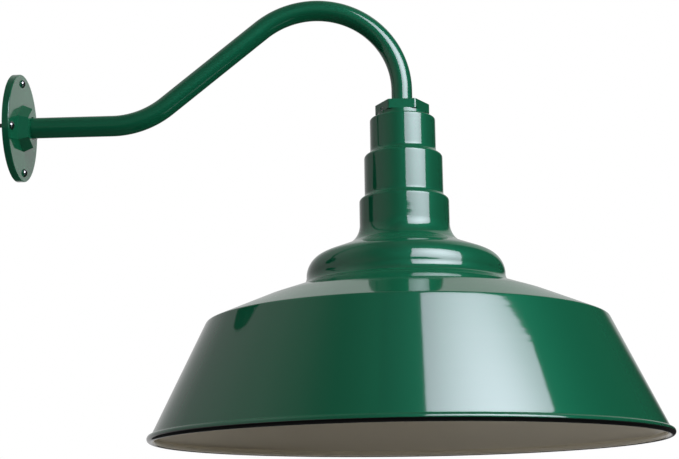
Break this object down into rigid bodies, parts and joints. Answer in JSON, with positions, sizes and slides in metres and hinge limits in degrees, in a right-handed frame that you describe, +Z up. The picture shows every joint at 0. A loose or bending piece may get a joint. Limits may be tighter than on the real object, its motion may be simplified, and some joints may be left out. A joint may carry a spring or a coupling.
{
  "type": "gooseneck wall sconce",
  "caption": "Outdoor wall light: a round wall plate, a bent tube arm over a hexagonal hub, and a wide downward shade with a tiered neck and rolled rim, lamp inside.",
  "frame": {"origin": "centre of the wall plate's back face, on the wall", "axes": "+X out of the wall, +Z up, +Y to the right of someone facing the wall"},
  "size_m": [0.6584, 0.5079, 0.457],
  "materials": {
    "painted_casting": "gloss green powder coat on a casting",
    "painted_tube": "gloss green powder coat on drawn tube",
    "painted_shade": "gloss green powder coat outside, white enamel inside",
    "steel": "zinc plated",
    "black_screw": "gloss dark green over the screw heads",
    "brass": "bright",
    "porcelain": "glazed",
    "rubber": "matt",
    "black_plastic": "matt",
    "line_insulation": "smooth black",
    "neutral_insulation": "smooth white",
    "ground_insulation": "smooth green",
    "frosted_glass": "soft white frosted",
    "lamp_metal": "bright",
    "black_glass": "black vitrite"
  },
  "bodies": {
    "fixture": {"wall_plate": "painted_casting", "mounting_screws": "black_screw", "arm_set_screw": "steel", "arm_locknut": "steel", "ground_screw": "steel", "gooseneck_arm": "painted_tube", "hub_cap": "painted_casting", "hub_set_screw": "steel", "hub_gasket": "rubber", "hub_locknut": "steel", "wire_bushing": "black_plastic", "shade": "painted_shade", "socket_strap": "steel", "strap_screws": "steel", "bonding_screw": "steel", "socket_body": "porcelain", "terminal_screws": "brass", "socket_shell": "brass", "centre_contact": "brass", "line_wire": "line_insulation", "neutral_wire": "neutral_insulation", "ground_wire": "ground_insulation"},
    "lamp": {"lamp_glass": "frosted_glass", "lamp_base": "lamp_metal", "lamp_insulator": "black_glass", "lamp_contact": "lamp_metal"}
  },
  "joints": [
    {"name": "lamp_unscrew", "type": "slide", "parent": "fixture", "child": "lamp", "axis": [0, 0, -1], "range_m": [0, 0.028]}
  ]
}
